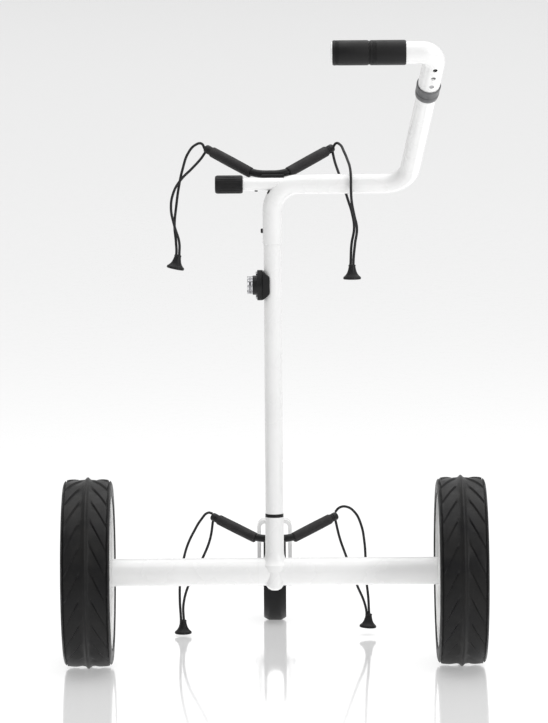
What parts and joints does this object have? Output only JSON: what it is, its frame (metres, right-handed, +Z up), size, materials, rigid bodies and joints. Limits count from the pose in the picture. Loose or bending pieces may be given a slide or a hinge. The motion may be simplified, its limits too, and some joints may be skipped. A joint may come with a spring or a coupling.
{
  "type": "golf push cart",
  "caption": "Three-wheeled powered golf cart with mast, one-hand grip with speed dial, padded bag supports, elastic loops and round charging socket",
  "frame": {"origin": "on the ground, at the middle of the bounding box's bottom face", "axes": "+X to the user's right along the drive axle, +Y forward towards the front wheel, +Z up"},
  "size_m": [0.638, 0.7364, 0.9533],
  "materials": {
    "white_paint": "gloss powder coat",
    "white_rim": "satin moulded",
    "tyre_rubber": "matte rubber",
    "black_plastic": "fine grain",
    "black_bar": "satin",
    "pad_rubber": "matte rubber",
    "grip_rubber": "matte rubber",
    "collar_grey": "satin",
    "chrome": "polished",
    "steel": "brushed",
    "motor_can": "matte",
    "elastic_cord": "braided"
  },
  "bodies": {
    "base": {"hub_tee": "white_paint", "tee_seal": "pad_rubber", "left_axle_tube": "white_paint", "right_axle_tube": "white_paint", "left_motor": "motor_can", "right_motor": "motor_can", "left_gearbox": "steel", "right_gearbox": "steel", "left_axle_cap": "white_paint", "right_axle_cap": "white_paint", "shaft_bearings": "steel", "front_beam": "white_paint", "front_fork": "white_paint", "front_axle_bolt": "steel", "base_screws": "steel", "lower_support_bar": "black_bar", "lower_left_pad": "pad_rubber", "lower_right_pad": "pad_rubber", "lower_cord_ends": "black_plastic", "lower_left_cord": "elastic_cord", "lower_right_cord": "elastic_cord", "lower_left_toggle": "black_plastic", "lower_right_toggle": "black_plastic"},
    "left_shaft": {"left_drive_shaft": "steel"},
    "right_shaft": {"right_drive_shaft": "steel"},
    "left_wheel": {"left_rim": "white_rim", "left_tyre": "tyre_rubber"},
    "right_wheel": {"right_rim": "white_rim", "right_tyre": "tyre_rubber"},
    "left_release": {"left_release_button": "black_plastic"},
    "right_release": {"right_release_button": "black_plastic"},
    "front_wheel": {"front_tyre": "tyre_rubber", "front_rim": "black_plastic", "front_bearings": "steel"},
    "mast": {"mast": "white_paint", "socket_saddle": "black_plastic", "socket_housing": "black_plastic", "socket_shell": "chrome", "socket_insert": "collar_grey", "mast_screws": "steel", "upper_frame_tube": "white_paint", "stub_tube": "white_paint", "stub_grip": "pad_rubber", "upper_support_bar": "black_bar", "upper_left_pad": "pad_rubber", "upper_right_pad": "pad_rubber", "upper_cord_ends": "black_plastic", "handle_detent": "black_plastic", "upper_left_cord": "elastic_cord", "upper_right_cord": "elastic_cord", "upper_left_toggle": "black_plastic", "upper_right_toggle": "black_plastic"},
    "snap": {"snap_button": "black_plastic", "snap_spring": "steel"},
    "handle": {"handle_collar": "collar_grey", "collar_screw": "steel", "handle_tube": "white_paint", "fixed_grip": "grip_rubber", "grip_end_cap": "white_paint"},
    "dial": {"speed_dial": "grip_rubber"}
  },
  "joints": [
    {"name": "left_wheel_spin", "type": "hinge", "parent": "base", "child": "left_shaft", "pos_m": [-0.2825, -0.13328, 0.145], "axis": [1, 0, 0], "continuous": true},
    {"name": "left_wheel_pull_off", "type": "slide", "parent": "left_shaft", "child": "left_wheel", "axis": [-1, 0, 0], "range_m": [0, 0.05]},
    {"name": "left_release_press", "type": "slide", "parent": "left_wheel", "child": "left_release", "axis": [1, 0, 0], "range_m": [0, 0.004], "stiffness_N_per_m": 1500, "springref_m": -0.001},
    {"name": "right_wheel_spin", "type": "hinge", "parent": "base", "child": "right_shaft", "pos_m": [0.2825, -0.13328, 0.145], "axis": [1, 0, 0], "continuous": true},
    {"name": "right_wheel_pull_off", "type": "slide", "parent": "right_shaft", "child": "right_wheel", "axis": [1, 0, 0], "range_m": [0, 0.05]},
    {"name": "right_release_press", "type": "slide", "parent": "right_wheel", "child": "right_release", "axis": [-1, 0, 0], "range_m": [0, 0.004], "stiffness_N_per_m": 1500, "springref_m": -0.001},
    {"name": "front_wheel_spin", "type": "hinge", "parent": "base", "child": "front_wheel", "pos_m": [0, 0.29972, 0.0685], "axis": [1, 0, 0], "continuous": true},
    {"name": "mast_lift", "type": "slide", "parent": "base", "child": "mast", "axis": [0, 0, 1], "range_m": [0, 0.08]},
    {"name": "snap_press", "type": "slide", "parent": "mast", "child": "snap", "axis": [1, 0, 0], "range_m": [0, 0.003], "stiffness_N_per_m": 1500, "springref_m": -0.001},
    {"name": "handle_height", "type": "slide", "parent": "mast", "child": "handle", "axis": [0.1219, -0.7259, 0.6769], "range_m": [-0.018, 0]},
    {"name": "dial_turn", "type": "hinge", "parent": "handle", "child": "dial", "pos_m": [0.115, -0.34997, 0.93506], "axis": [1, 0, 0], "range_deg": [-120, 120]}
  ]
}
